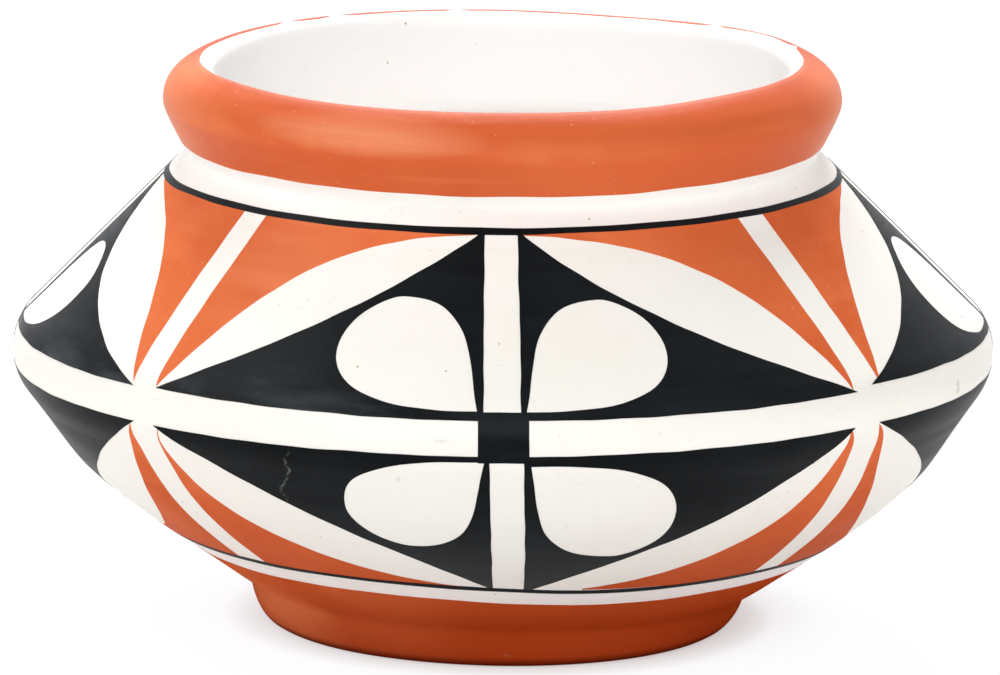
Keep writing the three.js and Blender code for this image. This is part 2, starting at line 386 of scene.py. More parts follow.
# where the painted highlight lies
HIGHLIGHT_EDGE, HIGHLIGHT_FADE = (0.0715, 0.0725), (0.084, 0.072)    # metres, heights over the keel
HIGHLIGHT_SIDE = (0.0, -0.03)                                     # metres, from the middle to the left
SCRATCH, SCRATCH_REACH = (-0.0497, -0.1042, 0.0553), 0.0105    # metres
SCRATCH_SWAY, SCRATCH_WIDTH = 0.0016, 0.00045                  # metres
LOW_SHEEN, HARDLY_ANY = 0.072, 0.015                           # gloss of the panels, of the lower line
BRUSHED = (0.34, 0.44)                                         # roughness, on a stroke and beside it
BRUSHED_RELIEF = 0.00010                                       # metres


def highlight_over_keel(tree, place, where):
    """A painted highlight: the grey haze over the keel, at the left."""
    haze = fade_in(tree, grain(tree, place, scale=40, detail=8, stretch=(1, 1, 5)), 0.42, 0.75)
    over_keel = product_of(tree, fade_in(tree, where["Z"], *HIGHLIGHT_FADE),
                           fade_in(tree, where["Z"], *HIGHLIGHT_EDGE))
    return product_of(tree, product_of(tree, haze, over_keel), fade_in(tree, where["X"], *HIGHLIGHT_SIDE))


def chalky_scratch(tree, place, where):
    """A broken upright line that sways from side to side."""
    swaying = grain(tree, place, scale=160, detail=2, stretch=(0, 0, 1))
    sway = spread(tree, swaying, 0.35, 0.65, -SCRATCH_SWAY, SCRATCH_SWAY)
    beside = sum_of(tree, sum_of(tree, where["X"], -SCRATCH[0]), sway)
    line = fade_in(tree, reckon(tree, "ABSOLUTE", beside), SCRATCH_WIDTH, SCRATCH_WIDTH * MARK_MIDDLE)
    line = product_of(tree, line, mark(tree, place, SCRATCH, SCRATCH_REACH))
    return product_of(tree, line, fade_in(tree, grain(tree, place, scale=700), 0.35, 0.65))


def make_black_paint(name, gloss):
    finish, tree, shader, place = new_finish(name)
    strokes = grain(tree, place, scale=18, detail=6, stretch=(1, 1, 18))
    clouds = grain(tree, place, scale=45, detail=4)
    where = parts_of(tree, place)
    colour = lay_over(tree, SOOT, [
        (fade_in(tree, product_of(tree, strokes, clouds), 0.16, 0.42), THIN_SOOT),
        (highlight_over_keel(tree, place, where), HIGHLIGHT_SOOT),
        (chalky_scratch(tree, place, where), CHALK)])
    tree.links.new(colour, shader.inputs["Base Color"])
    tree.links.new(spread(tree, strokes, *NOISE_RANGE, *BRUSHED), shader.inputs["Roughness"])
    shader.inputs["Specular IOR Level"].default_value = gloss
    fine = product_of(tree, grain(tree, place, scale=380, detail=4), 0.5)
    raise_surface(tree, shader, sum_of(tree, fine, strokes), BRUSHED_RELIEF)
    return finish


black_paint = make_black_paint("black_paint", LOW_SHEEN)
matt_black = make_black_paint("black_paint_line", HARDLY_ANY)
print("Black paint:", len(black_paint.node_tree.nodes), "nodes")

# %% [markdown]
# ## Paper and sky
# The bowl stands on white paper under a pale sky. The paper could be lit until it burns out, but then
# the white slip would burn out too. Instead the paper only looks brighter to the camera, through the
# Light Path node. Its own glow would hide the bowl's shadow, so the glow dims where the bowl stands
# close: a soft shade on the side away from the light, and a small one at the contact itself.

# %% Paper and sky
PAPER_RADIUS = 8.0                     # metres
PAPER_CORNERS = 96
PAPER_DROP = 0.0002                    # metres, the paper lies just under the foot
PAPER = (0.93, 0.93, 0.93, 1)          # as it lights the bowl
SEEN_PAPER = (0.08, 0.08, 0.08, 1)     # as the camera sees it, under its own glow
PAPER_ROUGHNESS = 0.9
PAPER_GLOW = (0.94, 0.94, 0.95, 1)
SHADED_GLOW = (0.50, 0.41, 0.40, 1)    # close under the bowl
SHADE_REACH, CONTACT_REACH = 0.021, 0.010    # metres
SHADE_DEPTH, CONTACT_DEPTH = 0.86, 0.6
OPEN_SIDE = (-0.56, -0.50, 0.66)       # the light comes from the left and the front
SKY = (1.0, 1.0, 1.0, 1)
SEEN_SKY = (0.955, 0.955, 0.98, 1)
SKY_STRENGTH = 0.22


def seen_ray(tree):
    """1 for what the camera sees, directly or in a gloss or through glass, and 0 for the rest."""
    rays = add_node(tree, "LightPath", {}).outputs
    either = sum_of(tree, rays["Is Camera Ray"], rays["Is Glossy Ray"])
    return sum_of(tree, either, rays["Is Transmission Ray"])


def shade_on_paper(tree):
    """How much of the open sky the bowl hides: on the side away from the light, and close by."""
    towards_light = add_node(tree, "CombineXYZ", dict(zip("XYZ", OPEN_SIDE))).outputs["Vector"]
    side = add_node(tree, "AmbientOcclusion", {"Distance": SHADE_REACH, "Normal": towards_light})
    contact = add_node(tree, "AmbientOcclusion", {"Distance": CONTACT_REACH})
    hidden = fade_in(tree, side.outputs["AO"], 1, 0, SHADE_DEPTH)
    cubed = product_of(tree, product_of(tree, hidden, hidden), hidden)
    return sum_of(tree, cubed, fade_in(tree, contact.outputs["AO"], 1, 0, CONTACT_DEPTH))


def make_paper():
    finish, tree, shader, place = new_finish("studio_paper")
    seen = seen_ray(tree)
    glow = blend_colours(tree, shade_on_paper(tree), PAPER_GLOW, SHADED_GLOW)
    tree.links.new(blend_colours(tree, seen, PAPER, SEEN_PAPER), shader.inputs["Base Color"])
    shader.inputs["Roughness"].default_value = PAPER_ROUGHNESS
    shader.inputs["Specular IOR Level"].default_value = 0.0
    tree.links.new(glow, shader.inputs["Emission Color"])
    tree.links.new(seen, shader.inputs["Emission Strength"])
    turns = np.linspace(0, 2 * math.pi, PAPER_CORNERS, endpoint=False)
    corners = [(PAPER_RADIUS * math.cos(t), PAPER_RADIUS * math.sin(t), -PAPER_DROP) for t in turns]
    mesh = bpy.data.meshes.new("paper")
    mesh.from_pydata(corners, [], [list(range(PAPER_CORNERS))])
    mesh.materials.append(finish)
    paper = bpy.data.objects.new("paper", mesh)
    bpy.context.scene.collection.objects.link(paper)
    return paper


def make_sky():
    sky = bpy.data.worlds.new("sky")
    sky.use_nodes = True
    tree = sky.node_tree
    tree.nodes.clear()
    light = add_node(tree, "Background", {"Color": SKY, "Strength": SKY_STRENGTH})
    seen = add_node(tree, "Background", {"Color": SEEN_SKY, "Strength": 1.0})
    both = add_node(tree, "MixShader", {0: seen_ray(tree), 1: light.outputs[0], 2: seen.outputs[0]})
    add_node(tree, "OutputWorld", {"Surface": both.outputs[0]})
    bpy.context.scene.world = sky


paper = make_paper()
make_sky()
print("Paper", 2 * PAPER_RADIUS, "m across under a sky of strength", SKY_STRENGTH)

# %% [markdown]
# ## Softboxes
# Four large lamps give the even light of a picture for a catalogue: one in front, one high at the
# left, a weaker one at the right, and one behind that lights the far side of the inside. Small lamps
# would be simpler to place, but they would draw hard glints on the slip, and the bowl shows none.

# %% Softboxes
AIM = Vector((0, 0, 0.07))    # metres
SOFTBOXES = {                 # azimuth and elevation in degrees, distance and size in metres, watts
    "left_softbox": (-85, 46, 2.0, 0.9, 13.9),
    "front_softbox": (0, 30, 2.3, 1.4, 22.0),
    "right_softbox": (58, 38, 2.2, 1.2, 8.0),
    "back_softbox": (180, 48, 2.0, 1.0, 50.0)}


def softbox(name, azimuth, elevation, distance, size, power):
    """A square lamp aimed at the bowl. Azimuth 0 is the camera's side, and + is to the right."""
    lamp = bpy.data.lights.new(name, "AREA")
    lamp.size = size
    lamp.energy = power
    side, rise = math.radians(azimuth), math.radians(elevation)
    away = Vector((math.sin(side) * math.cos(rise), -math.cos(side) * math.cos(rise), math.sin(rise)))
    box = bpy.data.objects.new(name, lamp)
    box.location = AIM + away * distance
    box.rotation_euler = (-away).to_track_quat("-Z", "Y").to_euler()
    bpy.context.scene.collection.objects.link(box)
    return box


lamps = [softbox(name, *settings) for name, settings in SOFTBOXES.items()]
print("Softboxes:", ", ".join(lamp.name for lamp in lamps))

# %% [markdown]
# ## The outside of the clay
# A coil pot has no mould: its line comes from the potter's hand, and it can be read off the
# silhouette. The section runs from the hollow under the floor, over the tread, up the foot and the
# flaring wall, round the keel, up the cone to the neck and over the rolled rim to the lip. It could
# be traced point by point. Arcs and pulled curves draw it with a few sizes instead, and where the
# frame has a size, it is taken from there.

# %% Sizes of the section
def in_mm(corner):
    return np.array(corner) / MM


rim_low, rim_high = map(in_mm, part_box("rim_roll"))
slab_low, slab_high = map(in_mm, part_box("floor_slab"))
foot_high = in_mm(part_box("foot_ring")[1])
keel_high = in_mm(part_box("keel_coil")[1])

# Millimetres, and degrees for the two angles
FOOT_CREASE = np.array([foot_high[0], foot_high[2]])
FOOT_ROUND = 5.3            # how far the foot's rounded side goes in under the crease
TREAD_RADIUS = FOOT_CREASE[0] - FOOT_ROUND    # outer edge of the ring that stands on the table
TREAD_WIDTH = 9.8
RECESS = slab_low[2]        # depth of the hollow under the floor
FLOOR_HEIGHT = slab_high[2]
WALL = 6.5
FLARE_ANGLE = 31.5          # of the wall over the foot
KEEL_RADIUS = keel_high[0]
KEEL_HEIGHT = 67.8
KEEL_ROUND = 13
KEEL_LEAN = 34              # from upright, under the keel
NECK_RADIUS = 76.8
NECK_CREASE = np.array([NECK_RADIUS, rim_low[2]])
ROLL_HEIGHT = 12.7          # from the neck crease to the rim's widest place
RIM_WIDEST = np.array([rim_high[0], rim_low[2] + ROLL_HEIGHT])
LIP_ROUND = 4.0
MOUTH_RADIUS = NECK_CREASE[0] - WALL
LIP = np.array([MOUTH_RADIUS + LIP_ROUND, rim_high[2]])
print("Keel radius", round(KEEL_RADIUS, 1), "mm, lip height", round(LIP[1], 1), "mm")

# %% [markdown]
# ## Curves and paths
# Two kinds of curve are enough for the section: a part of a circle, and a curve that is pulled
# towards corners on its way. Walked in even steps, they become a path, and a path's corners can be
# softened as a wet thumb softens a crease.

# %% Curves and paths
CURVE_POINTS = 160
PATH_STEP = 0.2             # millimetres
SAME_PLACE = 1e-6           # millimetres, closer points are one
THUMB_SPAN = 3              # a thumb's pressure is felt this many reaches away


def pulled(corners):
    """Points along the curve that leaves its first corner, bends towards the next and ends at the last."""
    way = np.linspace(0, 1, CURVE_POINTS)[:, None]
    curve = [np.array(corner, float) for corner in corners]
    while len(curve) > 1:
        curve = [first + (second - first) * way for first, second in zip(curve, curve[1:])]
    return curve[0]


def heading(degrees):
    return np.array([math.cos(math.radians(degrees)), math.sin(math.radians(degrees))])


def arc(middle, radius, start, end):
    """Points along a part of a circle, between two headings in degrees."""
    turns = np.radians(np.linspace(start, end, CURVE_POINTS))
    return np.array(middle) + radius * np.column_stack([np.cos(turns), np.sin(turns)])


def lengths(path):
    """How far along a path each of its points is."""
    return np.concatenate([[0], np.cumsum(np.linalg.norm(np.diff(path, axis=0), axis=1))])


def along(places, measured, path):
    """Points of a path at some places, where measured holds the place of each of its points."""
    return np.column_stack([np.interp(places, measured, path[:, axis]) for axis in (0, 1)])


def evenly(path):
    """The same path with a point at every step, and the distance of each point along it."""
    keep = np.concatenate([[True], np.linalg.norm(np.diff(path, axis=0), axis=1) > SAME_PLACE])
    path = path[keep]
    gone = lengths(path)
    steps = np.linspace(0, gone[-1], int(gone[-1] / PATH_STEP) + 1)
    return along(steps, gone, path), steps


def directions(path):
    """The heading of a path at each of its points."""
    slope = np.gradient(path, axis=0)
    return slope / np.linalg.norm(slope, axis=1)[:, None]


def softened(path, reach):
    """Rounds the corners of an even path, as a wet thumb does. The two ends stay."""
    half = int(THUMB_SPAN * reach / PATH_STEP)
    weights = np.exp(-0.5 * (np.arange(-half, half + 1) * PATH_STEP / reach) ** 2)
    weights /= weights.sum()
    longer = np.pad(path, ((half, half), (0, 0)), mode="reflect", reflect_type="odd")
    return np.column_stack([np.convolve(longer[:, axis], weights, "valid") for axis in (0, 1)])


quarter_turn = evenly(arc((0, 0), KEEL_ROUND, 0, 90))[1][-1]
print("A quarter turn at the keel's roundness is", round(quarter_turn, 1), "mm long")

# %% [markdown]
# ## Foot, wall and rim
# The section has three stretches, which meet at the two creases: the foot, the wall and the rim. On
# the real bowl these are also the three stages of the work. The numbers called holds say how long a
# curve keeps the heading of its end before it bends away.

# %% Foot, wall and rim
TREAD_HOLD, FOOT_HOLD = 0.56, 0.26     # the foot's rounded side
FLARE_HOLD, KEEL_HOLD = 0.72, 0.22     # the two ends of the lower wall
UNDER_HOLD, ROLL_HOLD = 0.15, 0.55     # under the roll, and over it
CROWN_HOLD, CROWN_FALL = 0.56, 0.20    # the crown, which falls away from the lip


def foot_section():
    """From the middle of the hollow under the floor to the crease over the foot."""
    inner = TREAD_RADIUS - TREAD_WIDTH
    hollow = [(0, RECESS), (inner, RECESS), (inner, 0)]
    round_out = (TREAD_RADIUS + (FOOT_CREASE[0] - TREAD_RADIUS) * TREAD_HOLD, 0)
    upright = (FOOT_CREASE[0], FOOT_CREASE[1] * (1 - FOOT_HOLD))
    return np.vstack([hollow, pulled([(TREAD_RADIUS, 0), round_out, upright, FOOT_CREASE])])


def wall_section():
    """From the crease over the foot to the crease under the rim."""
    middle = np.array([KEEL_RADIUS - KEEL_ROUND, KEEL_HEIGHT])
    to_neck = NECK_CREASE - middle
    steepness = math.atan2(to_neck[1], to_neck[0]) - math.acos(KEEL_ROUND / np.linalg.norm(to_neck))
    keel = arc(middle, KEEL_ROUND, -KEEL_LEAN, math.degrees(steepness))
    reach = np.linalg.norm(keel[0] - FOOT_CREASE)
    flare = FOOT_CREASE + reach * FLARE_HOLD * heading(FLARE_ANGLE)
    run_in = keel[0] - reach * KEEL_HOLD * heading(90 - KEEL_LEAN)
    return np.vstack([pulled([FOOT_CREASE, flare, run_in, keel[0]]), keel, [NECK_CREASE]])


def rim_section():
    """From the crease under the rim, over the roll and the lip, to the inside of the mouth."""
    rise = LIP[1] - RIM_WIDEST[1]
    under = RIM_WIDEST - np.array([0, (RIM_WIDEST[1] - NECK_CREASE[1]) * UNDER_HOLD])
    over = RIM_WIDEST + np.array([0, rise * ROLL_HOLD])
    crown = LIP + np.array([(RIM_WIDEST[0] - LIP[0]) * CROWN_HOLD, -rise * CROWN_FALL])
    turn_in = arc(LIP - np.array([0, LIP_ROUND]), LIP_ROUND, 90, 180)
    return np.vstack([pulled([NECK_CREASE, under, RIM_WIDEST]),
                      pulled([RIM_WIDEST, over, crown, LIP]), turn_in])


foot_length, neck_at = lengths(foot_section())[-1], lengths(wall_section())[-1]
print("Foot section", round(foot_length, 1), "mm, wall", round(neck_at, 1), "mm")

# %% [markdown]
# ## The whole outside
# Joined and softened, the three stretches are the outside of the bowl. Every place on it has a
# distance along the wall, counted in millimetres from the crease over the foot, and the slips and
# the pattern are measured by that. The crease over the foot is the softest, because a thumb has run
# round it.

# %% The whole outside
CREASE_SOFTNESS = 0.5       # millimetres
FOOT_SOFTNESS = 1.1         # millimetres
THUMB_WIDTH = 4.4           # millimetres along the wall, to each side of the foot crease

sharp_outside, walked = evenly(np.vstack([foot_section(), wall_section(), rim_section()]))
outside_at = walked - foot_length
near_foot = np.exp(-(outside_at / THUMB_WIDTH) ** 2)[:, None]
outside = softened(sharp_outside, CREASE_SOFTNESS) * (1 - near_foot)
outside += softened(sharp_outside, FOOT_SOFTNESS) * near_foot
outside_way = directions(outside)
lip_at = outside_at[np.argmax(outside[:, 1])]
keel_at = outside_at[np.argmax(outside[:, 0])]
print("Along the wall: keel", round(keel_at, 1), "neck", round(neck_at, 1), "lip", round(lip_at, 1))

# %% [markdown]
# ## The inside of the clay
# The inside follows the outside at the wall's thickness, from the flat floor to the mouth. A potter
# reaches in and smooths it, so the corner at the floor and the one under the rim are rounded far
# more than the creases outside.

# %% Drawing the inside
INSIDE_SOFTNESS = 2.6       # millimetres


def inside_section():
    """The inside before it is smoothed, and the point where its floor ends and the wall begins."""
    rising = (outside_at > 0) & (outside_at < neck_at) & (sharp_outside[:, 1] > FLOOR_HEIGHT)
    way = directions(sharp_outside)[rising]
    offset = sharp_outside[rising] + WALL * np.column_stack([-way[:, 1], way[:, 0]])
    down_to_floor = (offset[0][1] - FLOOR_HEIGHT) / math.sin(math.radians(FLARE_ANGLE))
    start = offset[0] - heading(FLARE_ANGLE) * down_to_floor
    below_keel = outside_at[rising] < keel_at
    offset = offset[below_keel | (offset[:, 0] > MOUTH_RADIUS)]
    mouth = [(MOUTH_RADIUS, offset[-1][1]), (MOUTH_RADIUS, LIP[1] - LIP_ROUND)]
    return np.vstack([[(0, FLOOR_HEIGHT)], [start], offset, mouth]), start


inside_path, floor_edge = inside_section()
inside = softened(evenly(inside_path)[0], INSIDE_SOFTNESS)
lower_wall = (outside_at > 0) & (outside_at < keel_at)
wall_from = float(np.interp(FLOOR_HEIGHT, outside[lower_wall][:, 1], outside_at[lower_wall]))
print("Floor", round(2 * floor_edge[0], 1), "mm across, first coil from", round(wall_from, 1))

# %% [markdown]
# ## The potter's hand
# No coil pot is a true turned form. Its circles tip a little, some to the left and some to the right,
# they drift and are slightly out of round, the crease over the foot sags at the sides, and the lip
# rises and falls. Each member could be bent by itself, but then the seams would open. One function
# bends every point of the bowl, so clay, slip and paint stay together. The waves come from a seeded
# generator, which gives the same bowl on each run.

# %% Sizes of the hand's work
TIP_HEIGHTS = (0, 9.7, 17.3, 25.3, 67.3, 118.3, 139.3)          # millimetres
TIPS = (0, -0.006, -0.018, -0.0135, 0.0129, 0.0129, 0.0150)     # rise to the right, per millimetre
TIP_SOFTNESS = 4.0                                              # millimetres
SHIFT_HEIGHTS = (0, 67, 131, 139)                               # millimetres
SHIFTS = (0.55, 0.81, -0.4, -0.8)                               # drift to the right, in millimetres
OUT_OF_ROUND = ((2, 0.20, 90), (3, 0.16, 45), (5, 0.10, 30), (9, 0.06, 17))   # waves, size, twist
CREASE_SAGS = ((86, 38, -1.5), (-90, 30, -0.4))                 # angle, width and rise
LIP_RISES = ((155, 26, -1.2), (190, 22, -0.4), (-58, 14, 0.3), (22, 16, -0.3), (47, 11, 0.25))
SAG_HEIGHT = FOOT_CREASE[1] + 1                                 # millimetres, where the crease sags most
SAG_REACH = 6.0                                                 # millimetres up and down from there
LEVEL_FOOT = 4.0                                                # millimetres, the sag is full over this

heights = np.arange(0, LIP[1] + PATH_STEP, PATH_STEP)
tips = softened(np.column_stack([heights, np.interp(heights, TIP_HEIGHTS, TIPS)]), TIP_SOFTNESS)[:, 1]
hand = np.random.default_rng(7)
round_phases = hand.uniform(0, 2 * math.pi, len(OUT_OF_ROUND))
print("Waves round the bowl:", [waves for waves, size, twist in OUT_OF_ROUND])

# %% Bending a true form into a hand-made one
def rise_at(angle, rises):
    """How an edge rises and falls, in millimetres: each rise has an angle, a width and a height."""
    lift = 0
    for middle, width, rise in rises:
        aside = (angle - middle + 180) % 360 - 180
        lift = lift + rise * np.exp(-(aside / width) ** 2)
    return lift


def by_hand(angle, radius, height):
    """Points of the hand-made bowl in metres. Angle 0 faces the camera, and + goes to the right."""
    turn = np.radians(angle)
    away = np.clip(radius / NECK_CREASE[0], 0, 1)
    for (waves, size, twist), phase in zip(OUT_OF_ROUND, round_phases):
        radius = radius + away * size * np.sin(waves * turn + height / twist + phase)
    right = radius * np.sin(turn)
    x = right + np.interp(height, SHIFT_HEIGHTS, SHIFTS)
    y = -radius * np.cos(turn)
    near_lip = np.clip((height - NECK_CREASE[1]) / (LIP[1] - NECK_CREASE[1]), 0, 1) ** 2
    near_crease = np.exp(-((height - SAG_HEIGHT) / SAG_REACH) ** 2) * np.clip(height / LEVEL_FOOT, 0, 1)
    z = height + np.interp(height, heights, tips) * right + near_lip * rise_at(angle, LIP_RISES)
    z = z + near_crease * rise_at(angle, CREASE_SAGS)
    return np.stack(np.broadcast_arrays(x, y, z), axis=-1) * MM


def on_outside(angle, distance, lift):
    """Points on the outside of the bowl, or that many millimetres off it."""
    radius, height = (np.interp(distance, outside_at, outside[:, axis]) for axis in (0, 1))
    way_out, way_up = (np.interp(distance, outside_at, outside_way[:, axis]) for axis in (0, 1))
    return by_hand(angle, radius + lift * way_up, height - lift * way_out)


tipped = by_hand(np.array([-90.0, 90.0]), np.full(2, MOUTH_RADIUS), np.full(2, LIP[1]))
print("The lip's right side is", round((tipped[1][2] - tipped[0][2]) / MM, 2), "mm over its left")

# %% [markdown]
# ## The clay members
# The real bowl is a foot ring, a floor slab and coils pinched onto one another, each seated on the
# ridge of the one below. One turned skin would look the same, but separate members cost only a few
# hidden faces, and the bowl stays an assembly that can be taken apart seam by seam. Each member is
# its section turned round the axis and bent by the hand above, and it takes the place of its own
# solid.

# %% Turning a member
RING = 256                  # corners round the bowl
SHARP = math.radians(50)    # edges that turn by more stay sharp
ring_angles = np.linspace(-180, 180, RING, endpoint=False)


def new_piece(name, points, faces, finish):
    """A mesh that rides on the bowl, smooth but for its sharp edges."""
    mesh = bpy.data.meshes.new(name)
    mesh.from_pydata(points.reshape(-1, 3).tolist(), [], faces)
    mesh.materials.append(finish)
    mesh.shade_smooth()
    mesh.set_sharp_from_angle(angle=SHARP)
    piece = bpy.data.objects.new(name, mesh)
    bpy.context.scene.collection.objects.link(piece)
    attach(piece, "root")
    return piece


def turned_faces(corner):
    """Faces of a closed section turned round: corner[i][j] is point i of the section at angle j."""
    faces = []
    for first, second in zip(corner, np.roll(corner, -1, axis=0)):
        for a, b, c, d in zip(first, np.roll(first, -1), np.roll(second, -1), second):
            face = list(dict.fromkeys((int(a), int(b), int(c), int(d))))
            if len(face) > 2:
                faces.append(face)
    return faces


def turn_round(name, section, finish):
    """Turns a closed section round the bowl's axis. A point on the axis is one point of the mesh."""
    points, corner, made = [], [], 0
    for radius, height in section:
        angles = ring_angles if radius > SAME_PLACE else np.zeros(1)
        points.append(by_hand(angles, np.full(len(angles), radius), np.full(len(angles), height)))
        corner.append(made + np.arange(RING) % len(angles))
        made += len(angles)
    return new_piece(name, np.vstack(points), turned_faces(np.array(corner)), finish)


def clay_member(node, section, finish=white_slip):
    """A turned member that takes the place of its solid."""
    member = turn_round("clay_" + node, section, finish)
    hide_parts(node)
    return member


print("Members are turned with", RING, "corners")

# %% [markdown]
# ## Seams
# Where two coils meet, the potter scores the lower one to a ridge and presses the upper one over it.
# A flat joint would be simpler to draw, but a ridge is what keeps a coil from sliding while it is
# wet. A seam is three places: a distance on the outside, the crest of its ridge in the middle of the
# wall, and a place on the inside. The member below and the member above share all three.

# %% Seams
WALL_STEP, ROLL_STEP = 1.6, 0.5    # millimetres between points of a section, on walls and tight curves
SEAM_RIDGE = 1.5                   # millimetres
Seam = namedtuple("Seam", "outer ridge inner")


def outside_between(start, end, step):
    """Points along the outside, from one distance to another."""
    count = max(2, math.ceil(abs(end - start) / step) + 1)
    return along(np.linspace(start, end, count), outside_at, outside)


def inside_between(start, end, step):
    """Points along the inside, from one of its places to another."""
    count = max(2, math.ceil(abs(end - start) * PATH_STEP / step) + 1)
    return inside[np.linspace(start, end, count).round().astype(int)]


def inside_place(point):
    """The place on the inside that is nearest to a point."""
    return int(np.argmin(np.linalg.norm(inside - point, axis=1)))


def seam_across(distance):
    """A seam straight through the wall."""
    index = int(np.argmin(np.abs(outside_at - distance)))
    outer, way = outside[index], outside_way[index]
    inner = inside_place(outer + WALL * np.array([-way[1], way[0]]))
    return Seam(distance, (outer + inside[inner]) / 2 + SEAM_RIDGE * way, inner)


def level_seam(distance, edge, ridge):
    """A seam with level ends: a ridge above it, or a groove where the ridge is below 0."""
    inner = inside_place(edge)
    outer = outside_between(distance, distance, WALL_STEP)[0]
    return Seam(distance, (outer + inside[inner]) / 2 + np.array([0, ridge]), inner)


floor_seam = level_seam(wall_from, floor_edge, -SEAM_RIDGE)
neck_seam = level_seam(neck_at, np.array([MOUTH_RADIUS, NECK_CREASE[1]]), SEAM_RIDGE)
print("Level seams at", round(floor_seam.outer, 1), "and", round(neck_seam.outer, 1), "mm")

# %% [markdown]
# ## Foot ring and floor slab
# A pancake of clay is the floor, and a coil pressed under its edge is the foot. The foot's upper face
# is a sloped seat with a ridge, from the hollow to the crease, and the slab lies on it. Drawing both
# outlines from the same corners makes them meet face to face.

# %% Foot and floor
FLOOR_STEP = 2 * WALL_STEP    # a flat floor needs fewer points
foot_corner = np.array([TREAD_RADIUS - TREAD_WIDTH, RECESS])
recess_at = foot_corner[0] - foot_length
foot_slope = (FOOT_CREASE - foot_corner) / np.linalg.norm(FOOT_CREASE - foot_corner)
foot_ridge = (FOOT_CREASE + foot_corner) / 2 + SEAM_RIDGE * np.array([-foot_slope[1], foot_slope[0]])

foot_outline = np.vstack([outside_between(recess_at, 0, ROLL_STEP), [foot_ridge]])
foot = clay_member("foot_ring", foot_outline, foot_slip)

floor_side = outside_between(0, wall_from, WALL_STEP)
floor_top = inside_between(floor_seam.inner, 0, FLOOR_STEP)
floor_under = outside_between(outside_at[0], recess_at, FLOOR_STEP)
floor = clay_member("floor_slab", np.vstack([floor_side, [floor_seam.ridge], floor_top, floor_under,
                                             [foot_ridge]]))
print("Foot ring and floor slab:", len(foot.data.polygons), "and", len(floor.data.polygons), "faces")

# %% [markdown]
# ## Coils of the wall
# Five coils lean outwards up to the keel, one is bent round it, four lean inwards to the neck, and a
# last thin one carries the rim. Scraping and slip hide the seams of a finished pot, so the coils are
# given even heights, about as thick as a finger.

# %% Coils of the wall
LOWER_COILS, UPPER_COILS = 5, 4
KEEL_COIL, NECK_COIL = 18, 10        # millimetres along the wall


def coil(node, lower, upper):
    """A coil between two seams."""
    outer = outside_between(lower.outer, upper.outer, WALL_STEP)
    inner = inside_between(upper.inner, lower.inner, WALL_STEP)
    return clay_member(node, np.vstack([outer, [upper.ridge], inner, [lower.ridge]]))


keel_from, keel_to = keel_at - KEEL_COIL / 2, keel_at + KEEL_COIL / 2
lower_places = np.linspace(wall_from, keel_from, LOWER_COILS + 1)
upper_places = np.linspace(keel_to, neck_at - NECK_COIL, UPPER_COILS + 1)
lower_seams = [floor_seam] + [seam_across(place) for place in lower_places[1:]]
upper_seams = [seam_across(place) for place in upper_places]

coil_names = [f"lower_wall_coil_{number + 1}" for number in range(LOWER_COILS)] + ["keel_coil"]
coil_names += [f"upper_wall_coil_{number + 1}" for number in range(UPPER_COILS)] + ["neck_coil"]
seams = lower_seams + upper_seams + [neck_seam]
coils = [coil(name, lower, upper) for name, lower, upper in zip(coil_names, seams, seams[1:])]
print("Coils of the wall:", len(coils))

# %% [markdown]
# ## Rolled rim
# The last coil is the fattest. It is rolled outwards over the neck, so that it hangs over the crease
# as a lip for the hands. Its section goes round the roll in short steps, because that curve is the
# tightest that shows.

# %% Rolled rim
rim_outer = outside_between(neck_at, outside_at[-1], ROLL_STEP)
rim_inner = inside_between(len(inside) - 1, neck_seam.inner, WALL_STEP)[1:]
rim = clay_member("rim_roll", np.vstack([rim_outer, rim_inner, [neck_seam.ridge]]))
print("Rolled rim:", len(rim.data.polygons), "faces")

# %% [markdown]
# ## Black frame lines
# Slip and paint lie on the clay as thin films with edges drawn by hand. A film could be a mask in a
# material, but a mask goes soft when it is seen from close by. A thin closed sheet with its own
# outline keeps a clean edge at any distance. The films that go right round the bowl are rings between
# two wandering edges. The first are the two black lines that frame the pattern. The upper one drops
# a little at the sides, and the lower one follows the edge of the red foot.

# %% Films right round the bowl
FILM_SINK = 0.05                   # millimetres that a film reaches into the clay
RED_LIFT, LINE_LIFT = 0.07, 0.12   # millimetres that a film stands over it
FILM_RING = 720                    # corners round a film
FEWEST_ROWS = 3


def wander(angles, waves, size):
    """A hand's wandering round the bowl: waves of the counts given, of that size in all."""
    phases = hand.uniform(0, 2 * math.pi, len(waves))
    turn = np.radians(angles)
    return size * sum(np.sin(count * turn + phase) for count, phase in zip(waves, phases)) / len(waves)


def ring_film(name, low, high, step, lift, finish):
    """A film right round the bowl, between two edges that are distances for each angle."""
    angles = np.linspace(-180, 180, FILM_RING, endpoint=False)
    low, high = low(angles), high(angles)
    rows = max(FEWEST_ROWS, math.ceil(np.max(high - low) / step) + 1)
    part = np.linspace(0, 1, rows)[:, None]
    distance = low + (high - low) * part
    top = on_outside(angles, distance, lift)
    bottom = on_outside(angles, distance, -FILM_SINK)[::-1]
    corner = np.arange(2 * rows * FILM_RING).reshape(2 * rows, FILM_RING)
    return new_piece(name, np.vstack([top, bottom]), turned_faces(corner), finish)


thinnest, thickest = (round(lift + FILM_SINK, 2) for lift in (RED_LIFT, LINE_LIFT))
print("A film is", thinnest, "to", thickest, "mm thick")

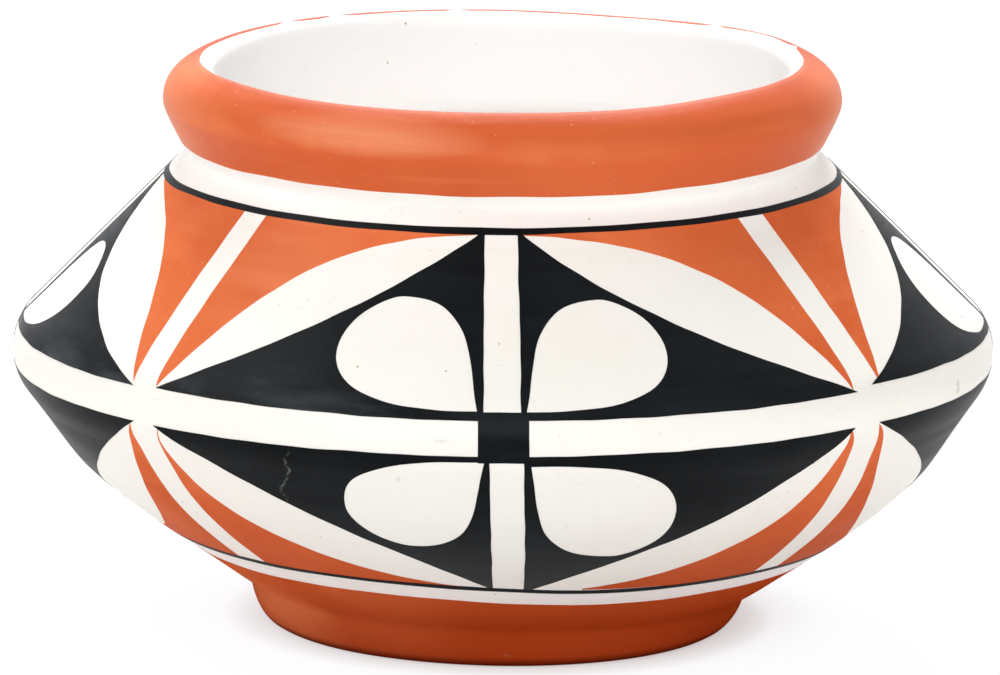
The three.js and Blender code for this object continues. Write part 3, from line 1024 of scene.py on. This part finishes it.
# %% Frame lines
LINE_WAVES = (2, 3, 5, 9, 14, 23)
LINE_STEP = 0.6                                         # millimetres between rows
UPPER_LINE, LOWER_LINE = (143.8, 145.6), (28.2, 30.1)   # distances along the wall
UPPER_WANDER, LOWER_WANDER = (0.30, 0.25), (0.3, 0.3)   # millimetres, of the two edges of a line
SAG = ((92, 30, -1.1), (-92, 26, -0.9))                 # angle, width and rise of the upper line
FOOT_RISES = ((-16, 18, 0.7), (18, 14, -1.1), (50, 16, 0.7))    # of the lower line and the red foot


def line_edge(distance, size, rises=()):
    """An edge at a distance along the wall, which rises, falls and wanders."""
    return lambda angles: distance + rise_at(angles, rises) + wander(angles, LINE_WAVES, size)


def frame_line(name, distances, wanderings, rises, finish):
    low, high = (line_edge(distance, size, rises) for distance, size in zip(distances, wanderings))
    return ring_film(name, low, high, LINE_STEP, LINE_LIFT, finish)


upper_line = frame_line("upper_frame_line", UPPER_LINE, UPPER_WANDER, SAG, black_paint)
lower_line = frame_line("lower_frame_line", LOWER_LINE, LOWER_WANDER, FOOT_RISES, matt_black)
print("Frame lines:", len(upper_line.data.polygons), "and", len(lower_line.data.polygons), "faces")

# %% [markdown]
# ## Red rim and red foot
# The red is wiped on with a cloth: over the rim from just above the neck crease to just inside the
# lip, and over the foot from the hollow to some way up the wall. The far lip has lost a few chips,
# where the cream shows through. The chips could be cut out of the film, but they all lie at its edge,
# so the edge itself dips there.

# %% Red rim and red foot
RIM_COAT_FROM = 3.7         # millimetres over the neck crease
RIM_COAT_OVER = 1.0         # millimetres past the top of the lip, towards the mouth
FOOT_COAT_TO = 20.5         # distance along the wall
FOOT_COAT_FROM = 0.2        # millimetres from the corner of the hollow
COAT_WANDER, LIP_WANDER = 0.5, 0.3    # millimetres
COAT_STEP = 0.9             # millimetres between the rows of a coat
HOLLOW_FILM = 0.12          # millimetres
HOLLOW_RINGS = 12
CHIPS = ((88, 14, 0.6), (-88, 18, 0.6), (104, 1.5, 1.2), (118, 12, 0.8), (134, 1.8, 1.3),
         (-134, 1.8, 1.5), (-146, 2.2, 1.3), (-171, 1.5, 1.2))    # angle, half width and depth


def lip_edge(angles):
    """The coat stops just inside the lip, and dips at the chips."""
    edge = lip_at + RIM_COAT_OVER + wander(angles, LINE_WAVES, LIP_WANDER)
    for angle, width, depth in CHIPS:
        edge -= depth * np.exp(-((angles - angle) / width) ** 2)
    return edge


def hollow_edge(angles):
    """The coat of the foot starts close to the corner of the hollow."""
    return np.full(len(angles), recess_at + FOOT_COAT_FROM)


rim_coat = ring_film("red_rim_coat", line_edge(neck_at + RIM_COAT_FROM, COAT_WANDER), lip_edge,
                     COAT_STEP, RED_LIFT, red_slip)
foot_coat = ring_film("red_foot_coat", hollow_edge, line_edge(FOOT_COAT_TO, COAT_WANDER, FOOT_RISES),
                      COAT_STEP, RED_LIFT, foot_slip)
hollow_rings = np.linspace(0, foot_corner[0], HOLLOW_RINGS)
hollow_outline = [(radius, RECESS - HOLLOW_FILM) for radius in hollow_rings]
hollow_outline += [(radius, RECESS + FILM_SINK) for radius in hollow_rings[::-1]]
hollow_coat = turn_round("red_hollow_coat", hollow_outline, foot_slip)
print("Red coats:", [len(coat.data.polygons) for coat in (rim_coat, foot_coat, hollow_coat)], "faces")

# %% [markdown]
# ## The painted pattern
# Four panels go round the belly. Each has a cross of white, with a black square at its middle, and
# four quarters. In a quarter, a black field with a white drop in it leans on the cross, a white leaf
# follows, and a red wedge closes it. Wedges of neighbouring panels meet at a star on the belly band.
# A quarter is drawn in two measures that a painter would use: degrees from the middle of the panel,
# and millimetres from the belly band. The eight quarters that can be seen from the front have their
# own sizes, and the others are the usual one, drawn a little differently each time.

# %% The panels and the usual quarter
BAND = (83.0, 91.8)                        # the white belly band, distances along the wall
BAND_TAPER = 0.25                          # millimetres by which its edges close in on the right
SQUARE = (-2.95, 2.85, 81.3, 93.7)         # degrees from the middle, distances
PANEL_MIDDLES = (0.3, 93.3, 180.0, -93.3)  # degrees
STAR_STRIPES = (47.0, 137.5, -137.5, -46.7)    # the stripe to the right of each panel
USUAL_WIDTH = 46.7                         # degrees from a panel's middle to its star stripe

USUAL = {
    "stripe": (2.3, 2.8),                  # edge of the white upright, at the band and at the line
    "lift": (0.0, 0.0),                    # black edge of the band, at the upright and at the tip
    "leaf": (3.8, 44.5),                   # black edge of the leaf, at the line and at the band
    "leaf_bows": (-2.0, -1.0),             # millimetres by which its two halves bow away from the band
    "wedge": (2.0, 22.0),                  # where the red edge of the leaf starts, and its level pull
    "wedge_bend": (39.5, 38.0),            # its pull near the star
    "wedge_tip": (44.5, 0.5),
    "star": (46.0, 8.0, 43.8),             # pull on the edge of the star stripe, and its end at the line
    "drop": (2.8, 2.0, 21.3, 19.4, 13.8, 33.3),    # corner, far side and crest of the white drop
    "drop_pulls": (0.52, 0.84, 0.54, 0.36, 0.99, 0.39)}    # how far its stretches hold their headings
IN_DEGREES = ("stripe", "leaf", "wedge")
DEGREES_AND_HEIGHTS = ("wedge_bend", "wedge_tip", "star", "drop")
print("A usual quarter has", sum(len(size) for size in USUAL.values()), "sizes")

# %% Quarters seen from the front
RIGHT, LEFT, UPPER, LOWER = 1, -1, 1, -1
SEEN = {
    (0, LEFT, UPPER): {
        "lift": (-0.3, 0.1), "stripe": (2.3, 3.1), "leaf": (3.7, 44.5), "leaf_bows": (0.1, -0.2),
        "wedge": (-0.1, 21.3), "wedge_bend": (36.5, 43.6), "wedge_tip": (44.5, 0.4),
        "star": (46.2, 8.8, 43.8), "drop": (3.1, 2.1, 21.8, 19.6, 14.2, 33.7)},
    (0, RIGHT, UPPER): {
        "lift": (-0.15, -0.15), "stripe": (1.95, 2.35), "leaf": (2.8, 45.3), "leaf_bows": (-3.1, -1.7),
        "wedge": (-4.2, 17.9), "wedge_bend": (39.2, 48.8), "wedge_tip": (44.7, 0.4),
        "star": (46.3, 8.1, 43.1), "drop": (2.6, 2.0, 21.2, 19.0, 13.5, 33.1)},
    (0, LEFT, LOWER): {
        "stripe": (1.65, 1.15), "leaf": (0.9, 44.2), "leaf_bows": (-2.9, -1.5),
        "wedge": (0.7, 27.6), "wedge_bend": (46.0, 16.5), "wedge_tip": (43.4, 0.4),
        "star": (45.2, 5.0, 40.9), "drop": (2.2, 1.5, 19.6, 17.9, 12.3, 32.1)},
    (0, RIGHT, LOWER): {
        "stripe": (2.2, 3.75), "leaf": (4.9, 44.3), "leaf_bows": (-1.4, 4.3),
        "wedge": (11.7, 7.2), "wedge_bend": (43.5, 34.9), "wedge_tip": (43.7, 0.4),
        "star": (46.4, 4.5, 45.1), "drop": (3.1, 2.6, 21.9, 22.1, 15.2, 35.4)},
    (3, RIGHT, UPPER): {
        "lift": (-0.8, -0.5), "leaf": (3.4, 45.4), "leaf_bows": (-9.7, -5.7),
        "wedge": (-2.3, 39.7), "wedge_bend": (37.8, 20.3), "wedge_tip": (45.2, 0.4),
        "star": (43.4, 14.0, 44.4), "drop": (3.0, 1.5, 20.0, 17.8, 11.3, 29.8),
        "drop_pulls": (0.62, 0.88, 0.54, 0.36, 0.99, 0.39)},
    (1, LEFT, UPPER): {
        "lift": (-0.8, 0.9), "leaf": (4.4, 45.0), "leaf_bows": (-7.5, -4.5),
        "wedge": (-5.2, 32.1), "wedge_bend": (35.0, 40.4), "wedge_tip": (43.6, 0.4),
        "star": (42.8, 17.5, 43.9), "drop": (3.0, 1.5, 20.3, 17.5, 11.7, 33.0),
        "drop_pulls": (0.72, 0.93, 0.54, 0.36, 0.99, 0.39)},
    (3, RIGHT, LOWER): {
        "lift": (0.3, -0.1), "leaf": (4.0, 46.2), "leaf_bows": (4.9, -0.3),
        "wedge": (11.4, 30.5), "wedge_bend": (40.3, 22.3), "wedge_tip": (45.5, 0.4),
        "star": (45.2, 14.0, 46.7)},
    (1, LEFT, LOWER): {
        "lift": (1.2, -0.1), "leaf": (3.5, 44.7), "leaf_bows": (-9.0, -4.0),
        "wedge": (11.4, 25.6), "wedge_bend": (41.3, 3.4), "wedge_tip": (44.6, 0.4),
        "star": (40.9, 25.0, 42.2), "drop": (2.8, 3.2, 19.5, 18.0, 12.4, 29.6)}}
print("Quarters seen from the front:", len(SEEN))

# %% Sizes of all quarters
HAND_SHIFT = 0.5            # degrees or millimetres by which an unseen size may differ
CORNER_SHIFT = 0.2          # share of that at the corner of a drop


def quarter_width(panel, side):
    """Degrees from a panel's middle to the star stripe on that side."""
    stripe = STAR_STRIPES[panel] if side == RIGHT else STAR_STRIPES[panel - 1]
    return abs((stripe - PANEL_MIDDLES[panel] + 180) % 360 - 180)


def quarter_sizes(panel, side, level):
    """The sizes of one quarter: as seen, or the usual ones at its width with a painter's changes."""
    sizes = {name: np.array(size) for name, size in USUAL.items()}
    narrower = quarter_width(panel, side) / USUAL_WIDTH
    for name in IN_DEGREES:
        sizes[name] = sizes[name] * narrower
    for name in DEGREES_AND_HEIGHTS:
        sizes[name] = sizes[name] * np.resize([narrower, 1], len(sizes[name]))
    held = np.array([CORNER_SHIFT, CORNER_SHIFT, 1, 1, 1, 1])
    sizes["drop"] = sizes["drop"] + hand.uniform(-HAND_SHIFT, HAND_SHIFT, len(held)) * held
    sizes["leaf_bows"] = sizes["leaf_bows"] + hand.uniform(-HAND_SHIFT, HAND_SHIFT, 2)
    sizes.update(SEEN.get((panel, side, level), {}))
    return sizes


quarters = {(panel, side, level): quarter_sizes(panel, side, level)
            for panel in range(len(PANEL_MIDDLES)) for side in (LEFT, RIGHT) for level in (UPPER, LOWER)}
print("Quarters:", len(quarters), "of which", len(SEEN), "follow the photograph")

# %% [markdown]
# ## Outlines of a quarter
# Each painted shape is a few long strokes, so each outline is a few pulled curves: the field has one
# bowed edge along the leaf, the drop has a base, a cap and a flank, and the wedge has an edge along
# the leaf and one along the star stripe. Drawn once for a quarter, they are mirrored to the left and
# the right and to above and below the belly band.

# %% Outlines of a quarter
DROP_DIP, DROP_LEAN = -0.5, 1.4    # millimetres and degrees, how the drop leaves its corner
THINNEST = 0.18             # millimetres, the thinnest red that a brush leaves under the line
LINE_OVERLAP = 0.5          # millimetres by which paint runs under the frame line
NARROWEST = 0.2             # degrees, the narrowest black at the line


def panel_height(level):
    """Millimetres from the belly band to the frame line."""
    return UPPER_LINE[0] - BAND[1] if level == UPPER else BAND[0] - LOWER_LINE[1]


def field_outline(sizes, height):
    """The black field between the cross and the leaf."""
    stripe_low, stripe_high = sizes["stripe"]
    leaf_high, leaf_low = sizes["leaf"]
    leaf_high = max(leaf_high, stripe_high + NARROWEST)
    high_bow, low_bow = sizes["leaf_bows"]
    near_lift, tip_lift = sizes["lift"]
    top = height + LINE_OVERLAP
    start, end = np.array([leaf_high, top]), np.array([leaf_low, tip_lift])
    third = (end - start) / 3
    leaf = pulled([start, start + third + [0, high_bow], end - third + [0, low_bow], end])
    return np.vstack([[(stripe_low, near_lift), (stripe_high, top)], leaf])[::-1]


def drop_outline(sizes):
    """The white drop, with its corner at the cross."""
    corner, far, crest = np.array(sizes["drop"]).reshape(3, 2)
    out, up, over, back, down, home = sizes["drop_pulls"]
    base = pulled([corner, corner + [out * (far - corner)[0], DROP_DIP],
                   far - [0, up * (far - corner)[1]], far])
    cap = pulled([far, far + [0, over * (crest - far)[1]], crest + [back * (far - crest)[0], 0], crest])
    flank = pulled([crest, crest - [down * (crest - corner)[0], 0],
                    corner + [DROP_LEAN, home * (crest - corner)[1]], corner])
    return np.vstack([base, cap[1:], flank[1:-1]])


def wedge_outline(sizes, height):
    """The red wedge between the leaf, the frame line and the star stripe."""
    start, pull = sizes["wedge"]
    edge = pulled([(start, height), (start + pull, height), sizes["wedge_bend"], sizes["wedge_tip"]])
    edge = edge[edge[:, 1] < height - THINNEST]
    near, near_height, high = sizes["star"]
    top = height + LINE_OVERLAP
    stripe = pulled([sizes["wedge_tip"], (near, near_height), (high, top)])
    return np.vstack([edge, stripe[1:], [(edge[0][0], top)]])


def on_panel(outline, panel, side, level):
    """An outline of a quarter as angles and distances on the bowl."""
    edge = BAND[1] if level == UPPER else BAND[0]
    angle = PANEL_MIDDLES[panel] + side * outline[:, 0]
    near_band = 1 - np.clip(outline[:, 1] / panel_height(level), 0, 1)
    rise = outline[:, 1] - BAND_TAPER * np.sin(np.radians(angle)) * near_band
    return np.column_stack([angle, edge + level * rise])


sample = drop_outline(quarters[0, LEFT, UPPER])
print("A drop is", np.ptp(sample[:, 0]).round(1), "degrees by", np.ptp(sample[:, 1]).round(1), "mm")

# %% [markdown]
# ## The brush
# A painter's edge is never quite even. Each outline is unrolled flat and walked in short steps, with
# a slight tremble of the brush. At a sharp tip the brush is held steadier, which also keeps a thin
# tip from crossing itself.

# %% Brushing an outline
UNROLLED = 100 * math.pi / 180      # millimetres to a degree, on the flat drawing
BRUSH_STEP = 0.9                    # millimetres
FEWEST_STEPS = 8
TREMBLE = 0.045                     # millimetres
TREMBLE_LENGTHS = (11.0, 17.0, 29.0, 47.0)    # millimetres
STEADY = 8.0                        # millimetres from a tip within which the brush is held steadier
TIP_TURN = 20                       # degrees, a sharper turn is a tip
SHORTEST = 1e-9                     # millimetres


def tips_of(loop, gone):
    """Distances at which an outline turns sharply."""
    way = np.diff(loop, axis=0)
    way /= np.maximum(np.linalg.norm(way, axis=1), SHORTEST)[:, None]
    sharp = np.sum(way * np.roll(way, -1, axis=0), axis=1) < math.cos(math.radians(TIP_TURN))
    return gone[1:][sharp] % gone[-1]


def brushed(outline):
    """A closed outline, unrolled and walked in short steps with a tremble of the brush."""
    flat = outline * [UNROLLED, 1]
    loop = np.vstack([flat, flat[:1]])
    gone = lengths(loop)
    steps = np.linspace(0, gone[-1], max(FEWEST_STEPS, int(gone[-1] / BRUSH_STEP)), endpoint=False)
    sharp_at = tips_of(loop, gone)
    steps = np.unique(np.concatenate([steps, sharp_at]))
    steady_at = np.append(sharp_at, -STEADY)    # the tips, and shortly before the stroke closes
    to_steady = np.abs(steps[:, None] - steady_at)
    to_steady = np.minimum(to_steady, np.abs(gone[-1] - to_steady)).min(axis=1)
    walk = along(steps, gone, loop)
    way = np.gradient(np.vstack([walk[-1:], walk, walk[:1]]), axis=0)[1:-1]
    aside = np.column_stack([-way[:, 1], way[:, 0]]) / np.linalg.norm(way, axis=1)[:, None]
    phases = hand.uniform(0, 2 * math.pi, len(TREMBLE_LENGTHS))
    shake = sum(np.sin(2 * math.pi * steps / each + phase) for each, phase in zip(TREMBLE_LENGTHS, phases))
    return walk + aside * (TREMBLE * shake * np.clip(to_steady / STEADY, 0, 1))[:, None]


print("Flat drawing:", round(UNROLLED, 3), "mm to a degree")

# %% [markdown]
# ## From an outline to a film of paint
# The flat outlines are filled with triangles, which are then laid on the wall and closed to a thin
# sheet. Filling with a grid of inner points lets the film follow the keel, and a hole such as a drop
# is only left out.

# %% Filling outlines
GRID_STEP = 1.6             # millimetres
SAME_CORNER = 1e-5          # millimetres, closer corners are one


def within(points, loop):
    """Which points lie inside a closed loop."""
    inside_loop = np.zeros(len(points), bool)
    x, y = points[:, 0], points[:, 1]
    for (x0, y0), (x1, y1) in zip(loop, np.roll(loop, -1, axis=0)):
        if y0 != y1:
            crosses = (y0 > y) != (y1 > y)
            inside_loop ^= crosses & (x < x0 + (y - y0) / (y1 - y0) * (x1 - x0))
    return inside_loop


def within_any(points, loops):
    return np.any([within(points, loop) for loop in loops], axis=0)


def filled(loops, painted):
    """Triangles between loops, on the flat: painted says which points are under paint."""
    corners, edges = [], []
    for loop in loops:
        first = len(corners)
        corners += [Vector(point) for point in loop]
        edges += [(first + i, first + (i + 1) % len(loop)) for i in range(len(loop))]
    everything = np.vstack(loops)
    low, high = everything.min(0), everything.max(0)
    across, up = np.meshgrid(np.arange(low[0], high[0], GRID_STEP), np.arange(low[1], high[1], GRID_STEP))
    grid = np.column_stack([across.ravel(), up.ravel()])
    clear = np.min(np.linalg.norm(grid[:, None] - everything[None], axis=2), axis=1) > GRID_STEP / 2
    corners += [Vector(point) for point in grid[clear & painted(grid)]]
    made = delaunay_2d_cdt(corners, edges, [], 0, SAME_CORNER)
    flat = np.array([tuple(point) for point in made[0]])
    triangles = np.array([tuple(face) for face in made[2]])
    triangles = triangles[painted(flat[triangles].mean(axis=1))]
    used = np.unique(triangles)
    place = np.zeros(len(flat), int)
    place[used] = np.arange(len(used))
    return flat[used], place[triangles]


def painted_film(name, loops, painted, lift, finish):
    """A thin closed sheet of paint on the bowl."""
    flat, triangles = filled(loops, painted)
    angle, distance = flat[:, 0] / UNROLLED, flat[:, 1]
    points = np.vstack([on_outside(angle, distance, lift), on_outside(angle, distance, -FILM_SINK)])
    below = len(flat)
    sides = np.vstack([triangles[:, [0, 1]], triangles[:, [1, 2]], triangles[:, [2, 0]]])
    known = {(int(a), int(b)) for a, b in sides}
    faces = triangles.tolist() + (triangles[:, ::-1] + below).tolist()
    faces += [[b, a, a + below, b + below] for a, b in sorted(known) if (b, a) not in known]
    return new_piece(name, points, faces, finish)


print("Paint is filled with a grid of", GRID_STEP, "mm")

# %% [markdown]
# ## Black panels
# The black of a panel is painted in one go: four fields, with the drops left white, and the square at
# the middle of the cross. The drops could be white paint over the black. On the real bowl they are
# left open and the cream ground shows, so they are holes in the film here too.

# %% Black panels
BLACK_LIFT = 0.10           # millimetres


def square_outline(panel):
    left, right, low, high = SQUARE
    corners = np.array([(left, low), (right, low), (right, high), (left, high)])
    return corners + [PANEL_MIDDLES[panel], 0]


def paint_panel(panel):
    """The black of one panel: four fields with their drops left white, and the square."""
    fields, drops = [], []
    for side in (LEFT, RIGHT):
        for level in (UPPER, LOWER):
            sizes = quarters[panel, side, level]
            field = field_outline(sizes, panel_height(level))
            fields.append(brushed(on_panel(field, panel, side, level)))
            drops.append(brushed(on_panel(drop_outline(sizes), panel, side, level)))
    square = brushed(square_outline(panel))

    def painted(points):
        return (within_any(points, fields) & ~within_any(points, drops)) | within(points, square)

    return painted_film(f"black_panel_{panel + 1}", fields + drops + [square], painted, BLACK_LIFT,
                        black_paint)


panels = [paint_panel(panel) for panel in range(len(PANEL_MIDDLES))]
print("Black panels:", [len(panel.data.polygons) for panel in panels], "faces")

# %% [markdown]
# ## Red stars
# Between two panels, four red wedges point at one place on the belly band and make a star. They
# belong to two panels, but a painter with red on the brush fills them together, so the four wedges
# of a star are one film.

# %% Red stars
def paint_star(star):
    """The four wedges that meet at one star: those of the panel at its left and of the next one."""
    loops = []
    for panel, side in ((star, RIGHT), ((star + 1) % len(PANEL_MIDDLES), LEFT)):
        for level in (UPPER, LOWER):
            outline = wedge_outline(quarters[panel, side, level], panel_height(level))
            loop = on_panel(outline, panel, side, level)
            loop[:, 0] -= 360 * np.round((loop[:, 0] - STAR_STRIPES[star]) / 360)
            loops.append(brushed(loop))
    return painted_film(f"red_star_{star + 1}", loops, lambda points: within_any(points, loops),
                        RED_LIFT, star_slip)


stars = [paint_star(star) for star in range(len(STAR_STRIPES))]
print("Red stars:", [len(star.data.polygons) for star in stars], "faces")
